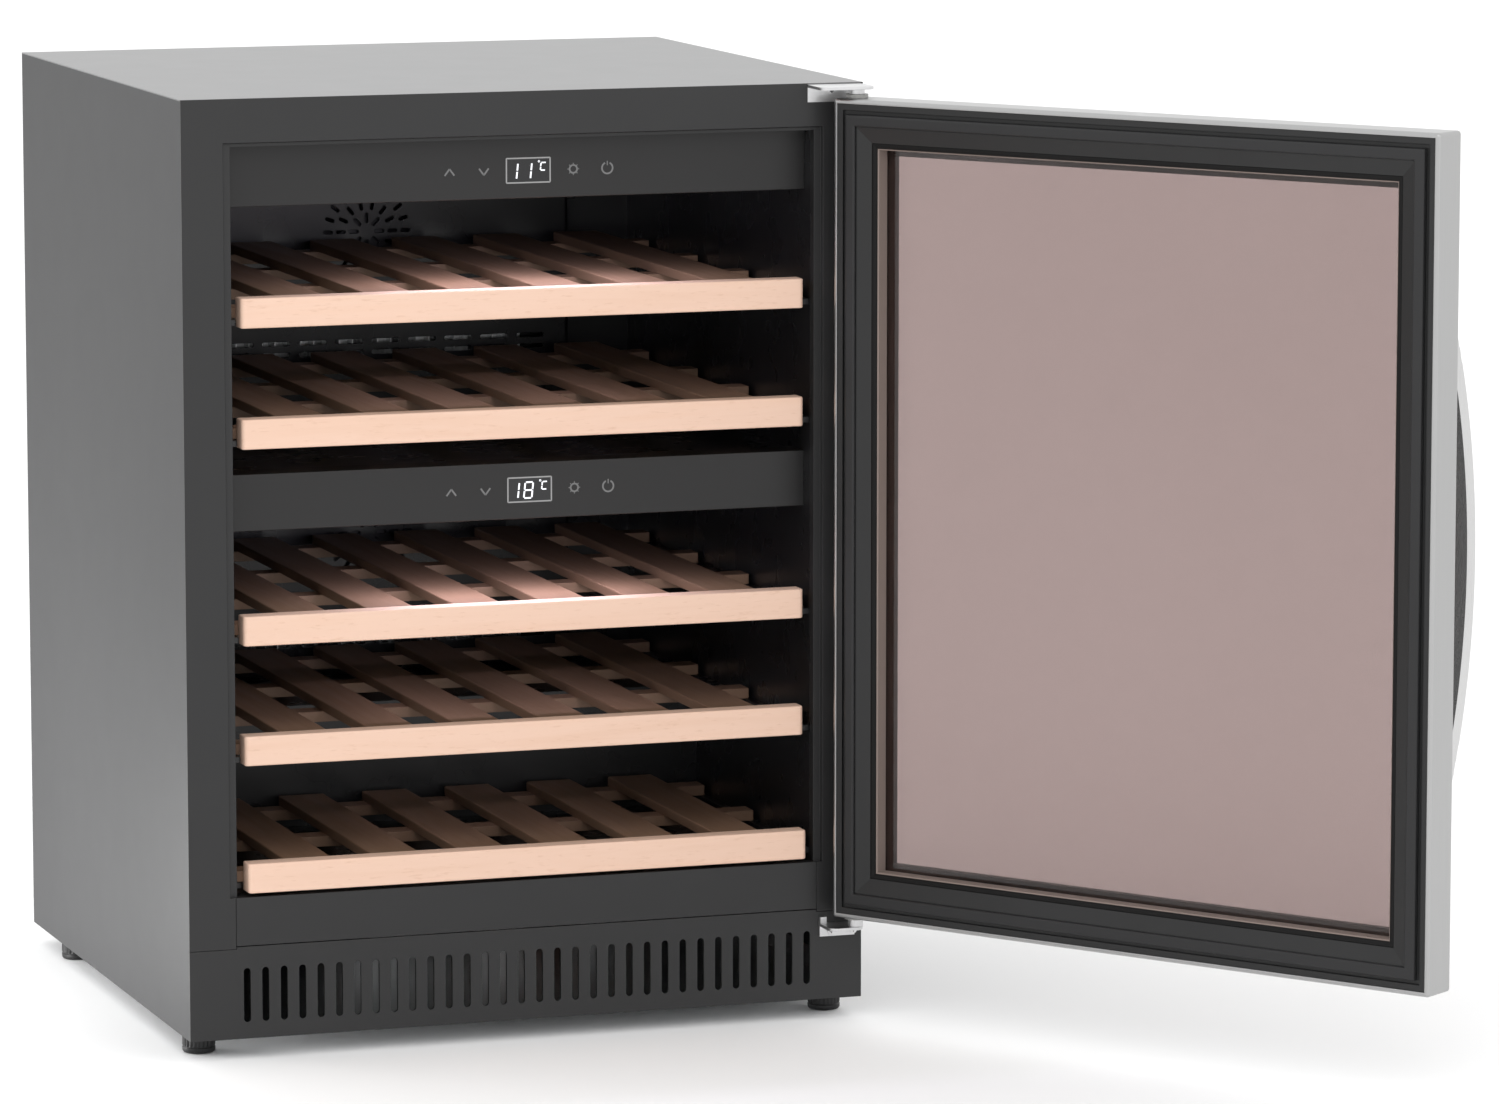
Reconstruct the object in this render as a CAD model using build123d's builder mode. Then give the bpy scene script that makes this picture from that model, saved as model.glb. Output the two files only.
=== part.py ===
from build123d import *
import os
from math import sqrt

# Two-zone undercounter wine cooler with a glass door, standing open.
# Millimetres. +X is the user's right, +Y points to the wall behind, +Z is up.
# The origin is on the floor, on the centre line, in the plane of the front frame's face.

os.makedirs("parts", exist_ok=True)

# ---------------------------------------------------------------- driving dimensions

width = 595.0
depth = 560.0
body_height = 788.0
foot_height = 17.5

sheet = 1.0
front_skin = 2.0
front_frame_thickness = 12.0
rim_slope = 1.0
rim_step = 4.0
opening_width = 510.0
opening_low, opening_high = 120.0, 748.0
grille_height = 76.3
grille_tongue = 78.3

door_width, door_height, door_thickness = 591.0, 701.0, 35.0
door_bottom = 76.0
door_gap = 2.5
hinge_x, hinge_y = 284.5, -22.0
open_angle = 125.15

panel_recess = 29.0
panel_depth = 69.0
upper_panel_low, upper_panel_high = 695.6, 748.0
lower_panel_low, lower_panel_high = 424.3, 472.0
controls_x = 10.0

# each shelf: name, top of its front rail, front of the rail, back end of the slats
shelves = [
    ("shelf_1", 622.0, 5.0, 468.0),
    ("shelf_2", 521.0, 5.0, 468.0),
    ("shelf_3", 356.0, 5.0, 468.0),
    ("shelf_4", 255.0, 5.0, 468.0),
    ("shelf_5", 148.5, -3.0, 312.0),
]
rail_width, rail_height, rail_thickness = 493.0, 25.0, 18.0

liner_wall = 2.0
liner_back = 515.0
hump_front = 320.0
hump_top = 226.0
bulkhead_low = 77.0
bulkhead_front = 360.5
bulkhead_top = 188.5

foot_x = 279.0
foot_front, foot_rear = 44.0, 470.0

# ---------------------------------------------------------------- derived values and helpers

bottom = foot_height
top = bottom + body_height
half = width / 2
inner_half = half - sheet - 0.1
opening_half = opening_width / 2
door_z = bottom + door_bottom + door_height / 2
door_face = -door_gap
door_top = bottom + door_bottom + door_height
hinge_axis = Axis((hinge_x, hinge_y, 0), (0, 0, 1))


def up(height):
    """Height above the floor of a level measured from the cabinet's underside."""
    return bottom + height


def front(y):
    """Upright plane that faces the user at depth y, with its local axes along X and Z."""
    return Plane.XZ.offset(-y)


def block(x0, x1, y0, y1, z0, z1, mode=Mode.ADD):
    """A block between two opposite corners, made in the part being built."""
    with Locations(((x0 + x1) / 2, (y0 + y1) / 2, (z0 + z1) / 2)):
        Box(x1 - x0, y1 - y0, z1 - z0, mode=mode)


def save(part, label):
    """Labels a finished piece and writes it to its own file."""
    part.label = label
    export_step(part, f"parts/{label}.step")


def save_door(part, label):
    """Door pieces are built with the door shut, then swung open about the hinge."""
    save(part.rotate(hinge_axis, open_angle), label)


def door_inset(inset):
    """Width and height of the door's outline moved in by an inset."""
    return door_width - 2 * inset, door_height - 2 * inset


def pipe(points, bend, radius):
    """A round tube along straight runs joined by tangent bends."""
    with BuildPart() as run:
        with BuildLine() as path:
            FilletPolyline(*points, radius=bend)
        with BuildSketch(Plane(origin=path.line @ 0, z_dir=path.line % 0)):
            Circle(radius)
        sweep()
    return run.part


def impeller(hub_radius, tip_radius, thickness, blade_count, bore_radius):
    """Axial fan wheel about the Z axis, centred on the origin."""
    blade_length = tip_radius - hub_radius + 8
    with BuildPart() as wheel:
        with PolarLocations(hub_radius - 4 + blade_length / 2, blade_count):
            Box(blade_length, 1.6, thickness * 2, rotation=(52, 0, 0))
        Cylinder(tip_radius, thickness, mode=Mode.INTERSECT)
        Cylinder(hub_radius, thickness)
        Cylinder(bore_radius, thickness, mode=Mode.SUBTRACT)
    return wheel.part


# ---------------------------------------------------------------- outer casing

for side, name in ((-1, "side_panel_left"), (1, "side_panel_right")):
    with BuildPart() as side_panel:
        inner, outer = sorted((side * (half - sheet), side * half))
        block(inner, outer, front_skin, depth - sheet, bottom, top - sheet)
        flange_in, flange_out = sorted((side * (half - 20), side * (half - sheet)))
        block(flange_in, flange_out, depth - 2 * sheet, depth - sheet, bottom, top - sheet)
    save(side_panel.part, name)

with BuildPart() as top_panel:
    block(-half, half, front_skin, depth, top - sheet, top)
save(top_panel.part, "top_panel")

with BuildPart() as back_panel:
    block(-half, half, depth - sheet, depth, up(bulkhead_top), top - sheet)
save(back_panel.part, "back_panel")

vent_pitch, vent_width, vent_height = 18.0, 6.0, 52.0
inlet_x, inlet_z = -215.0, up(56.0)
inlet_width, inlet_height = 50.0, 28.0

with BuildPart() as rear_grille:
    block(-half, half, depth - sheet, depth, up(22.0), up(bulkhead_top - 0.2))
    for row in (up(68.0), up(140.0)):
        with BuildSketch(front(depth - sheet)):
            with Locations((40.0, row)):
                with GridLocations(vent_pitch, 1, 22, 1):
                    SlotOverall(vent_height, vent_width, rotation=90)
        extrude(amount=-sheet, mode=Mode.SUBTRACT)
    block(
        inlet_x - inlet_width / 2,
        inlet_x + inlet_width / 2,
        depth - sheet,
        depth,
        inlet_z - inlet_height / 2,
        inlet_z + inlet_height / 2,
        mode=Mode.SUBTRACT,
    )
save(rear_grille.part, "rear_grille")

pan_sheet, pan_flange = 1.5, 20.0
pan_front, pan_back = 3.2, depth - 2 * sheet
stud_radius, stud_clearance = 4.0, 0.06
boss_radius, boss_height = 8.0, 16.0
post_inner = 258.0
bracket_screw_x = (269.0, 289.0)
top_plate_left = 248.0
bottom_screw_z = up(59.5)
screw_radius, screw_clearance = 1.9, 0.05

with BuildPart() as base_pan:
    block(-inner_half, inner_half, pan_front, pan_back, bottom, bottom + pan_sheet)
    for side in (-1, 1):
        low, high = sorted((side * (inner_half - pan_sheet), side * inner_half))
        block(low, high, pan_front, pan_back, bottom, bottom + pan_flange)
        low, high = sorted((side * post_inner, side * inner_half))
        block(low, high, pan_front, pan_front + pan_sheet, bottom, up(grille_height - 0.3))
    block(-inner_half, inner_half, pan_back - pan_sheet, pan_back, bottom, bottom + pan_flange)
    for x in (-foot_x, foot_x):
        for y in (foot_front, foot_rear):
            with Locations((x, y, bottom + boss_height / 2)):
                Cylinder(boss_radius, boss_height)
                Cylinder(stud_radius + stud_clearance, boss_height, mode=Mode.SUBTRACT)
    for x in bracket_screw_x:
        with Locations((x, pan_front + pan_sheet / 2, bottom_screw_z)):
            Cylinder(screw_radius + screw_clearance, 2 * pan_sheet, rotation=(90, 0, 0), mode=Mode.SUBTRACT)
save(base_pan.part, "base_pan")

# ---------------------------------------------------------------- levelling feet

pad_radius, stud_length = 14.0, 14.5

for fore_aft, y in (("front", foot_front), ("rear", foot_rear)):
    for side, x in (("left", -foot_x), ("right", foot_x)):
        with BuildPart() as foot:
            with Locations((x, y, (foot_height - 0.4) / 2)):
                Cylinder(pad_radius, foot_height - 0.4)
            fillet(foot.edges().group_by(Axis.Z)[0], 2.5)
            with Locations((x, y, foot_height - 0.4 + stud_length / 2)):
                Cylinder(stud_radius, stud_length)
        save(foot.part, f"foot_{fore_aft}_{side}")

# ---------------------------------------------------------------- front frame and kick grille

frame_half = opening_half + 6.0
seam_x = 257.0
top_screw_z = up(781.2)
flange_face = -0.2

with BuildPart() as front_frame:
    block(-half, half, 0, front_skin, up(grille_height + 0.4), top)
    block(
        -inner_half, inner_half, front_skin, front_frame_thickness, up(grille_height + 0.4), top - sheet
    )
    block(-seam_x, seam_x, 0, front_frame_thickness, up(grille_height), up(grille_tongue + 0.8), Mode.SUBTRACT)
    block(
        -opening_half, opening_half, 0, front_frame_thickness, up(opening_low), up(opening_high), Mode.SUBTRACT
    )
    # the rim falls back to a narrow ledge round the opening, except along its bottom
    slope_top = opening_high + 2.6
    for y, grow in ((0.0, rim_slope), (rim_step, 0.0)):
        with BuildSketch(front(y)):
            with Locations((0, up((opening_low + slope_top + grow) / 2))):
                Rectangle(2 * (frame_half + grow), slope_top + grow - opening_low)
    loft(mode=Mode.SUBTRACT)
    for side in (-1, 1):
        low, high = sorted((side * (seam_x - 0.3), side * (seam_x + 0.3)))
        block(low, high, 0, 0.7, up(grille_tongue), up(opening_low), Mode.SUBTRACT)
    # a pocket that lets the top hinge bracket lie flush
    block(top_plate_left - 0.1, 296.6, 0, 2.4, up(771.9), top, Mode.SUBTRACT)
    for x in bracket_screw_x:
        with Locations((x, 5.0, top_screw_z)):
            Cylinder(screw_radius + screw_clearance, 10.0, rotation=(90, 0, 0), mode=Mode.SUBTRACT)
save(front_frame.part, "front_frame")

slot_count, slot_pitch, slot_width = 32, 16.0, 6.0
slot_low, slot_high = 14.0, 60.0

with BuildPart() as kick_grille:
    block(-half, half, 0, front_skin, bottom, up(grille_height))
    block(-inner_half, inner_half, front_skin, 3.0, bottom, up(grille_height))
    block(-seam_x + 0.4, seam_x - 0.4, 0, 3.0, up(grille_height) - 1, up(grille_tongue))
    block(-seam_x + 2, seam_x - 2, 3.0, 14.0, up(grille_height - 3), up(grille_height - 1))
    block(-seam_x + 2, seam_x - 2, 3.0, 3.2, bottom + 3, bottom + 8)
    with BuildSketch(front(0)):
        with Locations((0, up((slot_low + slot_high) / 2))):
            with GridLocations(slot_pitch, 1, slot_count, 1):
                SlotOverall(slot_high - slot_low, slot_width, rotation=90)
    extrude(amount=-3.0, mode=Mode.SUBTRACT)
    for x in bracket_screw_x:
        with Locations((x, 1.5, bottom_screw_z)):
            Cylinder(screw_radius + 0.3, 3.0, rotation=(90, 0, 0), mode=Mode.SUBTRACT)
save(kick_grille.part, "kick_grille")

# ---------------------------------------------------------------- liner, foam and machine compartment

liner_front = front_frame_thickness
ceiling, floor_level = 750.0, 118.0
flange_half, flange_low, flange_high = 288.0, 90.0, 776.0
inner_profile = [
    (liner_front, floor_level),
    (hump_front, floor_level),
    (hump_front, hump_top),
    (liner_back, hump_top),
    (liner_back, ceiling),
    (liner_front, ceiling),
]
outer_profile = [
    (liner_front, floor_level - liner_wall),
    (hump_front + liner_wall, floor_level - liner_wall),
    (hump_front + liner_wall, hump_top - liner_wall),
    (liner_back + liner_wall, hump_top - liner_wall),
    (liner_back + liner_wall, ceiling + liner_wall),
    (liner_front, ceiling + liner_wall),
]

with BuildPart() as inner_liner:
    with BuildSketch(Plane.YZ):
        with BuildLine():
            Polyline(*[(y, up(z)) for y, z in outer_profile], close=True)
        make_face()
    extrude(amount=opening_half + liner_wall, both=True)
    block(
        -flange_half, flange_half, liner_front, liner_front + liner_wall, up(flange_low), up(flange_high)
    )
    with BuildSketch(Plane.YZ):
        with BuildLine():
            Polyline(*[(y, up(z)) for y, z in inner_profile], close=True)
        make_face()
    extrude(amount=opening_half, both=True, mode=Mode.SUBTRACT)
save(inner_liner.part, "inner_liner")

foam_front = liner_front + liner_wall
foam_profile = [
    (foam_front, bulkhead_low + sheet),
    (bulkhead_front, bulkhead_low + sheet),
    (bulkhead_front, bulkhead_top + sheet),
    (depth - 2 * sheet, bulkhead_top + sheet),
    (depth - 2 * sheet, body_height - sheet),
    (foam_front, body_height - sheet),
]

with BuildPart() as insulation_foam:
    with BuildSketch(Plane.YZ):
        with BuildLine():
            Polyline(*[(y, up(z)) for y, z in foam_profile], close=True)
        make_face()
    extrude(amount=inner_half, both=True)
    with BuildSketch(Plane.YZ):
        with BuildLine():
            Polyline(*[(y, up(z)) for y, z in outer_profile], close=True)
        make_face()
    extrude(amount=opening_half + liner_wall, both=True, mode=Mode.SUBTRACT)
    # the core of the divider between the zones
    block(-opening_half + 3, opening_half - 3, 60.0, liner_back - 3, up(430.0), up(466.0))
save(insulation_foam.part, "insulation_foam")

with BuildPart() as compressor_bulkhead:
    block(-inner_half, inner_half, foam_front, bulkhead_front + sheet, up(bulkhead_low), up(bulkhead_low + sheet))
    block(
        -inner_half, inner_half, bulkhead_front, bulkhead_front + sheet, up(bulkhead_low), up(bulkhead_top + sheet)
    )
    block(-inner_half, inner_half, bulkhead_front, depth - 2 * sheet, up(bulkhead_top), up(bulkhead_top + sheet))
save(compressor_bulkhead.part, "compressor_bulkhead")

# ---------------------------------------------------------------- zone divider and control panels

fascia = 3.0
panel_half = opening_half - 0.1
panel_back = panel_recess + panel_depth
skin = 2.5
divider_low, divider_high = lower_panel_low + skin, 469.5

with BuildPart() as zone_divider:
    block(-panel_half, panel_half, panel_recess + fascia, liner_back, up(divider_low), up(divider_high))
    block(
        -panel_half + skin,
        panel_half - skin,
        panel_recess + fascia,
        liner_back - skin,
        up(divider_low + skin),
        up(divider_high - skin),
        Mode.SUBTRACT,
    )
save(zone_divider.part, "zone_divider")

display_width, display_height = 40.0, 22.0
led_half, led_front, led_back = 110.0, 44.0, 56.0
display_levels = {"upper": up(719.0), "lower": up(449.0)}
panels = (
    ("upper", upper_panel_low, upper_panel_high),
    ("lower", lower_panel_low, lower_panel_high),
)

for zone, low, high in panels:
    with BuildPart() as control_panel:
        block(-panel_half, panel_half, panel_recess, panel_recess + fascia, up(low), up(high))
        block(-panel_half, panel_half, panel_recess, panel_back, up(low), up(low + skin))
        if zone == "upper":
            block(-panel_half, panel_half, panel_back - skin, panel_back, up(low), up(high))
        else:
            block(-panel_half, panel_half, panel_recess, panel_recess + 30, up(divider_high), up(high))
        block(
            controls_x - display_width / 2,
            controls_x + display_width / 2,
            panel_recess,
            panel_recess + fascia,
            display_levels[zone] - display_height / 2,
            display_levels[zone] + display_height / 2,
            Mode.SUBTRACT,
        )
        block(-led_half, led_half, led_front, led_back, up(low), up(low + skin), Mode.SUBTRACT)
        edge_line = control_panel.edges().filter_by(Axis.X).group_by(Axis.Y)[0]
        fillet(edge_line.sort_by(Axis.Z)[0], 1.0)
    save(control_panel.part, f"{zone}_control_panel")

    with BuildPart() as display:
        block(
            controls_x - display_width / 2 + 0.1,
            controls_x + display_width / 2 - 0.1,
            panel_recess + 0.3,
            panel_recess + 6.9,
            display_levels[zone] - display_height / 2 + 0.1,
            display_levels[zone] + display_height / 2 - 0.1,
        )
    save(display.part, f"{zone}_display")

key_offsets = (-69.0, -39.0, 39.5, 69.5)
key_radius = 7.0
board_front = panel_recess + 7.0

with BuildPart() as touch_keys:
    for level in display_levels.values():
        for offset in key_offsets:
            with Locations((controls_x + offset, panel_recess + fascia + 2.0, level)):
                Cylinder(key_radius, 3.8, rotation=(90, 0, 0))
save(touch_keys.part, "touch_keys")

with BuildPart() as control_boards:
    for level in display_levels.values():
        block(controls_x - 90, controls_x + 90, board_front, board_front + 1.6, level - 15, level + 15)
        block(controls_x - 60, controls_x - 35, board_front + 1.6, board_front + 9, level - 8, level + 8)
        block(controls_x + 20, controls_x + 60, board_front + 1.6, board_front + 6, level - 10, level + 10)
save(control_boards.part, "control_boards")

with BuildPart() as led_strips:
    for zone, low, high in panels:
        block(
            -led_half + 0.1, led_half - 0.1, led_front + 0.1, led_back - 0.1, up(low) - 0.8, up(low + skin)
        )
save(led_strips.part, "led_strips")

# ---------------------------------------------------------------- shelf runners and wooden shelves

slat_count, slat_pitch, slat_width, slat_height = 6, 76.0, 41.0, 8.0
batten_half, batten_width, batten_height = 251.5, 22.0, 9.0
glue_line = 0.05
runner_width, runner_height = 7.0, 5.0


def batten_top(rail_top):
    """Level of the battens' upper faces, just under the slats."""
    return up(rail_top) - 1.0 - slat_height - glue_line


with BuildPart() as shelf_runners:
    for name, rail_top, rail_front, slat_end in shelves:
        ledge_top = batten_top(rail_top) - batten_height - 0.4
        for side in (-1, 1):
            low, high = sorted((side * (opening_half - runner_width), side * opening_half))
            block(low, high, 16.0, slat_end + 4, ledge_top - runner_height, ledge_top)
save(shelf_runners.part, "shelf_runners")

for name, rail_top, rail_front, slat_end in shelves:
    rail_back = rail_front + rail_thickness
    with BuildPart() as front_rail:
        low, high = up(rail_top - rail_height), up(rail_top)
        block(-rail_width / 2, rail_width / 2, rail_front, rail_back, low, high)
        fillet(front_rail.edges().filter_by(Axis.Z).group_by(Axis.Y)[0], 3.5)
        fillet(front_rail.edges().group_by(Axis.Z)[-1], 1.2)
        fillet(front_rail.edges().group_by(Axis.Z)[0], 1.2)
    save(front_rail.part, f"{name}_front_rail")

    slat_top = up(rail_top) - 1.0
    slat_length = slat_end - rail_back - glue_line
    reach = slat_end - batten_width - rail_back - 8
    batten_count = 4 if reach > 350 else 3
    with BuildPart() as deck:
        with BuildSketch(Plane.XY.offset(slat_top - slat_height)):
            with Locations((0, (rail_back + glue_line + slat_end) / 2)):
                with GridLocations(slat_pitch, 1, slat_count, 1):
                    Rectangle(slat_width, slat_length)
        extrude(amount=slat_height)
        fillet(deck.edges().filter_by(Axis.Y).group_by(Axis.Z)[-1], 1.2)
        low = batten_top(rail_top) - batten_height
        for index in range(batten_count):
            y = rail_back + 2 + index * (reach + 2) / (batten_count - 1)
            block(-batten_half, batten_half, y, y + batten_width, low, low + batten_height)
    save(deck.part, f"{name}_deck")

# ---------------------------------------------------------------- evaporators and their fans

cover_front = 488.0
cover_half = 190.0
fan_levels = {"upper": up(625.0), "lower": up(352.0)}
cover_spans = {"upper": (up(502.0), up(690.0)), "lower": (up(238.0), up(424.0))}
fan_hub, fan_tip, fan_width = 17.0, 44.0, 12.0
fan_centre = 501.0
shaft_radius, shaft_clearance = 2.0, 0.05

for zone, (low, high) in cover_spans.items():
    with BuildPart() as evaporator_cover:
        block(-cover_half, cover_half, cover_front, liner_back, low, high)
        fillet(evaporator_cover.edges().group_by(Axis.Y)[0], 4.0)
        block(
            -cover_half + skin,
            cover_half - skin,
            cover_front + skin,
            liner_back,
            low + skin,
            high - skin,
            Mode.SUBTRACT,
        )
        with BuildSketch(front(cover_front)):
            for radius, count in ((12.0, 8), (24.0, 14), (36.0, 20)):
                with Locations((0, fan_levels[zone])):
                    with PolarLocations(radius, count):
                        SlotOverall(9.0, 3.2)
            for level in (low + 14, low + 24, high - 14):
                with Locations((0, level)):
                    with GridLocations(34.0, 1, 10, 1):
                        SlotOverall(26.0, 4.0)
        extrude(amount=-skin, mode=Mode.SUBTRACT)
    save(evaporator_cover.part, f"{zone}_evaporator_cover")

    fan = impeller(fan_hub, fan_tip, fan_width, 7, shaft_radius + shaft_clearance)
    save(Location((0, fan_centre, fan_levels[zone]), (-90, 0, 0)) * fan, f"{zone}_evaporator_fan")

with BuildPart() as evaporator_fan_motors:
    for level in fan_levels.values():
        with Locations(Location((0, 0, level), (-90, 0, 0))):
            with Locations((0, 0, 511.5)):
                Cylinder(20.0, 7.0)
            with Locations((0, 0, 502.5)):
                Cylinder(shaft_radius, 13.0)
save(evaporator_fan_motors.part, "evaporator_fan_motors")

with BuildPart() as evaporator_plates:
    for low, high in cover_spans.values():
        plate_low = low + 8
        block(-150, 150, 510.0, 512.0, plate_low, plate_low + 46)
        with Locations((0, 503.0, plate_low + 23)):
            with GridLocations(12.0, 1, 25, 1):
                Box(0.8, 14.0, 46.0)
save(evaporator_plates.part, "evaporator_plates")

# ---------------------------------------------------------------- compressor, condenser and its fan

machine_floor = bottom + pan_sheet
grommet_height = 12.0
compressor_x, compressor_y = -120.0, 462.0
can_length, can_width, can_height, can_wall = 168.0, 128.0, 138.0, 3.0
can_low = machine_floor + grommet_height + 2.5


def domed_can(inset):
    """The compressor's can, or with an inset the space inside it."""
    with BuildPart() as can:
        with BuildSketch(Plane.XY.offset(can_low)):
            with Locations((compressor_x, compressor_y)):
                RectangleRounded(can_length - 2 * inset, can_width - 2 * inset, 55.0 - inset)
        extrude(amount=can_height - inset)
        fillet(can.edges().group_by(Axis.Z)[-1], 34.0 - inset)
    return can.part


with BuildPart() as compressor:
    with BuildSketch(Plane.XY.offset(can_low - 2.5)):
        with Locations((compressor_x, compressor_y)):
            RectangleRounded(190.0, 140.0, 18.0)
            with GridLocations(168.0, 114.0, 2, 2):
                Circle(6.0, mode=Mode.SUBTRACT)
    extrude(amount=2.5)
    add(domed_can(0))
    add(domed_can(can_wall), mode=Mode.SUBTRACT)
    # the pump and its motor stand inside the can
    with Locations((compressor_x, compressor_y, can_low + 42)):
        Cylinder(44.0, 84.0)
save(compressor.part, "compressor")

with BuildPart() as compressor_mounts:
    with Locations((compressor_x, compressor_y, machine_floor + grommet_height / 2)):
        with GridLocations(168.0, 114.0, 2, 2):
            Cylinder(11.0, grommet_height)
            Cylinder(3.0, grommet_height, mode=Mode.SUBTRACT)
save(compressor_mounts.part, "compressor_mounts")

coil_x = 160.0
coil_passes, coil_pitch = 9, 16.0
coil_front, coil_back = 384.0, 540.0
coil_low = machine_floor + 16.0
tube_radius = 3.0

coil_top = coil_low + coil_pitch * (coil_passes - 1)

turns = [(coil_x, coil_front + 16, coil_low)]
for index in range(coil_passes):
    ends = (coil_back, coil_front) if index % 2 == 0 else (coil_front, coil_back)
    level = coil_low + index * coil_pitch
    if index:
        turns.append((coil_x, ends[1], level))
    turns.append((coil_x, ends[0], level))

with BuildPart() as condenser_coil:
    add(pipe(turns[:-1] + [(coil_x, coil_back - 16, turns[-1][2])], 7.5, tube_radius))
    with Locations((coil_x, (coil_front + coil_back) / 2, coil_low + coil_pitch * (coil_passes - 1) / 2)):
        with GridLocations(1, 10.0, 1, 12):
            Box(26.0, 0.6, coil_pitch * coil_passes)
save(condenser_coil.part, "condenser_coil")

fan_x, fan_y = 60.0, 462.0
fan_frame_size, fan_frame_depth = 120.0, 25.0
fan_z = machine_floor + 8.0 + fan_frame_size / 2

with BuildPart() as condenser_fan_frame:
    with Locations(Location((fan_x, fan_y, fan_z), (0, 90, 0))):
        Box(fan_frame_size, fan_frame_size, fan_frame_depth)
        Cylinder(54.0, fan_frame_depth, mode=Mode.SUBTRACT)
        with Locations((0, 0, -10.5)):
            Cylinder(20.0, 4.0)
            Box(fan_frame_size - 4, 7.0, 4.0)
            Box(7.0, fan_frame_size - 4, 4.0)
        with Locations((0, 0, -0.5)):
            Cylinder(shaft_radius, 17.0)
    block(fan_x - 12.5, fan_x + 12.5, fan_y - 30, fan_y + 30, machine_floor, fan_z - fan_frame_size / 2)
save(condenser_fan_frame.part, "condenser_fan_frame")

condenser_fan = impeller(18.0, 51.0, 14.0, 7, shaft_radius + shaft_clearance)
save(Location((fan_x + 2.0, fan_y, fan_z), (0, 90, 0)) * condenser_fan, "condenser_fan")

can_top = can_low + can_height
roof = up(bulkhead_top)
drier_y = 400.0

with BuildPart() as refrigerant_lines:
    run_z = roof - 12
    add(
        pipe(
            [
                (compressor_x + can_length / 2 + 0.05, compressor_y, can_top - 60),
                (compressor_x + can_length / 2 + 16, compressor_y, can_top - 60),
                (compressor_x + can_length / 2 + 16, compressor_y, run_z),
                (compressor_x + can_length / 2 + 16, 500.0, run_z),
                (coil_x, 500.0, run_z),
                (coil_x, coil_back, run_z),
                (coil_x, coil_back, coil_top),
                (coil_x, coil_back - 16 + 0.05, coil_top),
            ],
            6.5,
            tube_radius,
        )
    )
    add(
        pipe(
            [
                (compressor_x - can_length / 2 - 0.05, compressor_y, can_top - 60),
                (compressor_x - can_length / 2 - 20, compressor_y, can_top - 60),
                (compressor_x - can_length / 2 - 20, compressor_y, roof),
            ],
            12.0,
            4.0,
        )
    )
    with Locations((230.0, drier_y, machine_floor + 70)):
        Cylinder(9.0, 70.0)
    with Locations((230.0, drier_y, (machine_floor + 104 + roof) / 2)):
        Cylinder(1.6, roof - machine_floor - 104)
save(refrigerant_lines.part, "refrigerant_lines")

with BuildPart() as power_inlet:
    block(
        inlet_x - inlet_width / 2 + 0.2,
        inlet_x + inlet_width / 2 - 0.2,
        depth - 24.0,
        depth,
        inlet_z - inlet_height / 2 + 0.2,
        inlet_z + inlet_height / 2 - 0.2,
    )
    with BuildSketch(front(depth)):
        with Locations((inlet_x, inlet_z)):
            RectangleRounded(24.0, 17.0, 2.0)
    extrude(amount=17.0, mode=Mode.SUBTRACT)
    for x, z in ((-7.0, -2.0), (0.0, 2.0), (7.0, -2.0)):
        with Locations((inlet_x + x, depth - 10.0, inlet_z + z)):
            Box(2.0, 16.0, 4.0)
save(power_inlet.part, "power_inlet")

# ---------------------------------------------------------------- hinge hardware on the cabinet

plate_thickness = 2.5
bottom_plate_left = 259.0
pin_radius = 4.0
pin_reach = 12.0
shoulder_radius = 6.5
collar_thickness = 3.0
running_gap = 0.1
door_low = up(door_bottom)
top_plate_low = top - sheet - 0.05 - plate_thickness
bottom_plate_high = up(66.5)
pin_clearance = 0.02

# each bracket: name, left and right ends, plate's front and underside, flange levels, flange face, screws
brackets = (
    (
        "top_hinge_bracket",
        top_plate_left,
        296.5,
        -36.0,
        top_plate_low,
        up(772.0),
        top - sheet - 0.05,
        flange_face,
        top_screw_z,
    ),
    (
        "bottom_hinge_bracket",
        bottom_plate_left,
        290.5,
        -30.0,
        bottom_plate_high - plate_thickness,
        up(55.0),
        bottom_plate_high,
        -plate_thickness,
        bottom_screw_z,
    ),
)

for name, plate_left, right, plate_front, plate_low, flange_low, flange_high, face, screw_z in brackets:
    with BuildPart() as bracket:
        block(plate_left, right, plate_front, face + plate_thickness, plate_low, plate_low + plate_thickness)
        fillet(bracket.edges().filter_by(Axis.Z).group_by(Axis.Y)[0], 8.0)
        block(plate_left, right, face, face + plate_thickness, flange_low, flange_high)
        if name == "bottom_hinge_bracket":
            # the upturned stop at the plate's inner end
            block(plate_left, plate_left + 5.5, face - 2, face + plate_thickness, plate_low, up(72.3))
        for x in bracket_screw_x:
            with Locations((x, face + plate_thickness / 2, screw_z)):
                Cylinder(
                    screw_radius + screw_clearance,
                    plate_thickness,
                    rotation=(90, 0, 0),
                    mode=Mode.SUBTRACT,
                )
        with Locations((hinge_x, hinge_y, plate_low)):
            Cylinder(pin_radius - 1 + pin_clearance, 4 * plate_thickness, mode=Mode.SUBTRACT)
    save(bracket.part, name)

# each pin: its tip inside the door, the two ends of its shoulder, and its riveted end
pins = (
    (door_top - pin_reach, door_top + collar_thickness + running_gap, top_plate_low, top - sheet - 0.05),
    (
        door_low + pin_reach,
        door_low - collar_thickness - running_gap,
        bottom_plate_high,
        bottom_plate_high - plate_thickness,
    ),
)

with BuildPart() as hinge_pins:
    for tip, shoulder, seat, end in pins:
        for radius, low, high in (
            (pin_radius, tip, seat),
            (shoulder_radius, shoulder, seat),
            (pin_radius - 1, seat, end),
        ):
            with Locations((hinge_x, hinge_y, (low + high) / 2)):
                Cylinder(radius, abs(high - low))
save(hinge_pins.part, "hinge_pins")

head_radius, head_height = 3.1, 1.8

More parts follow.
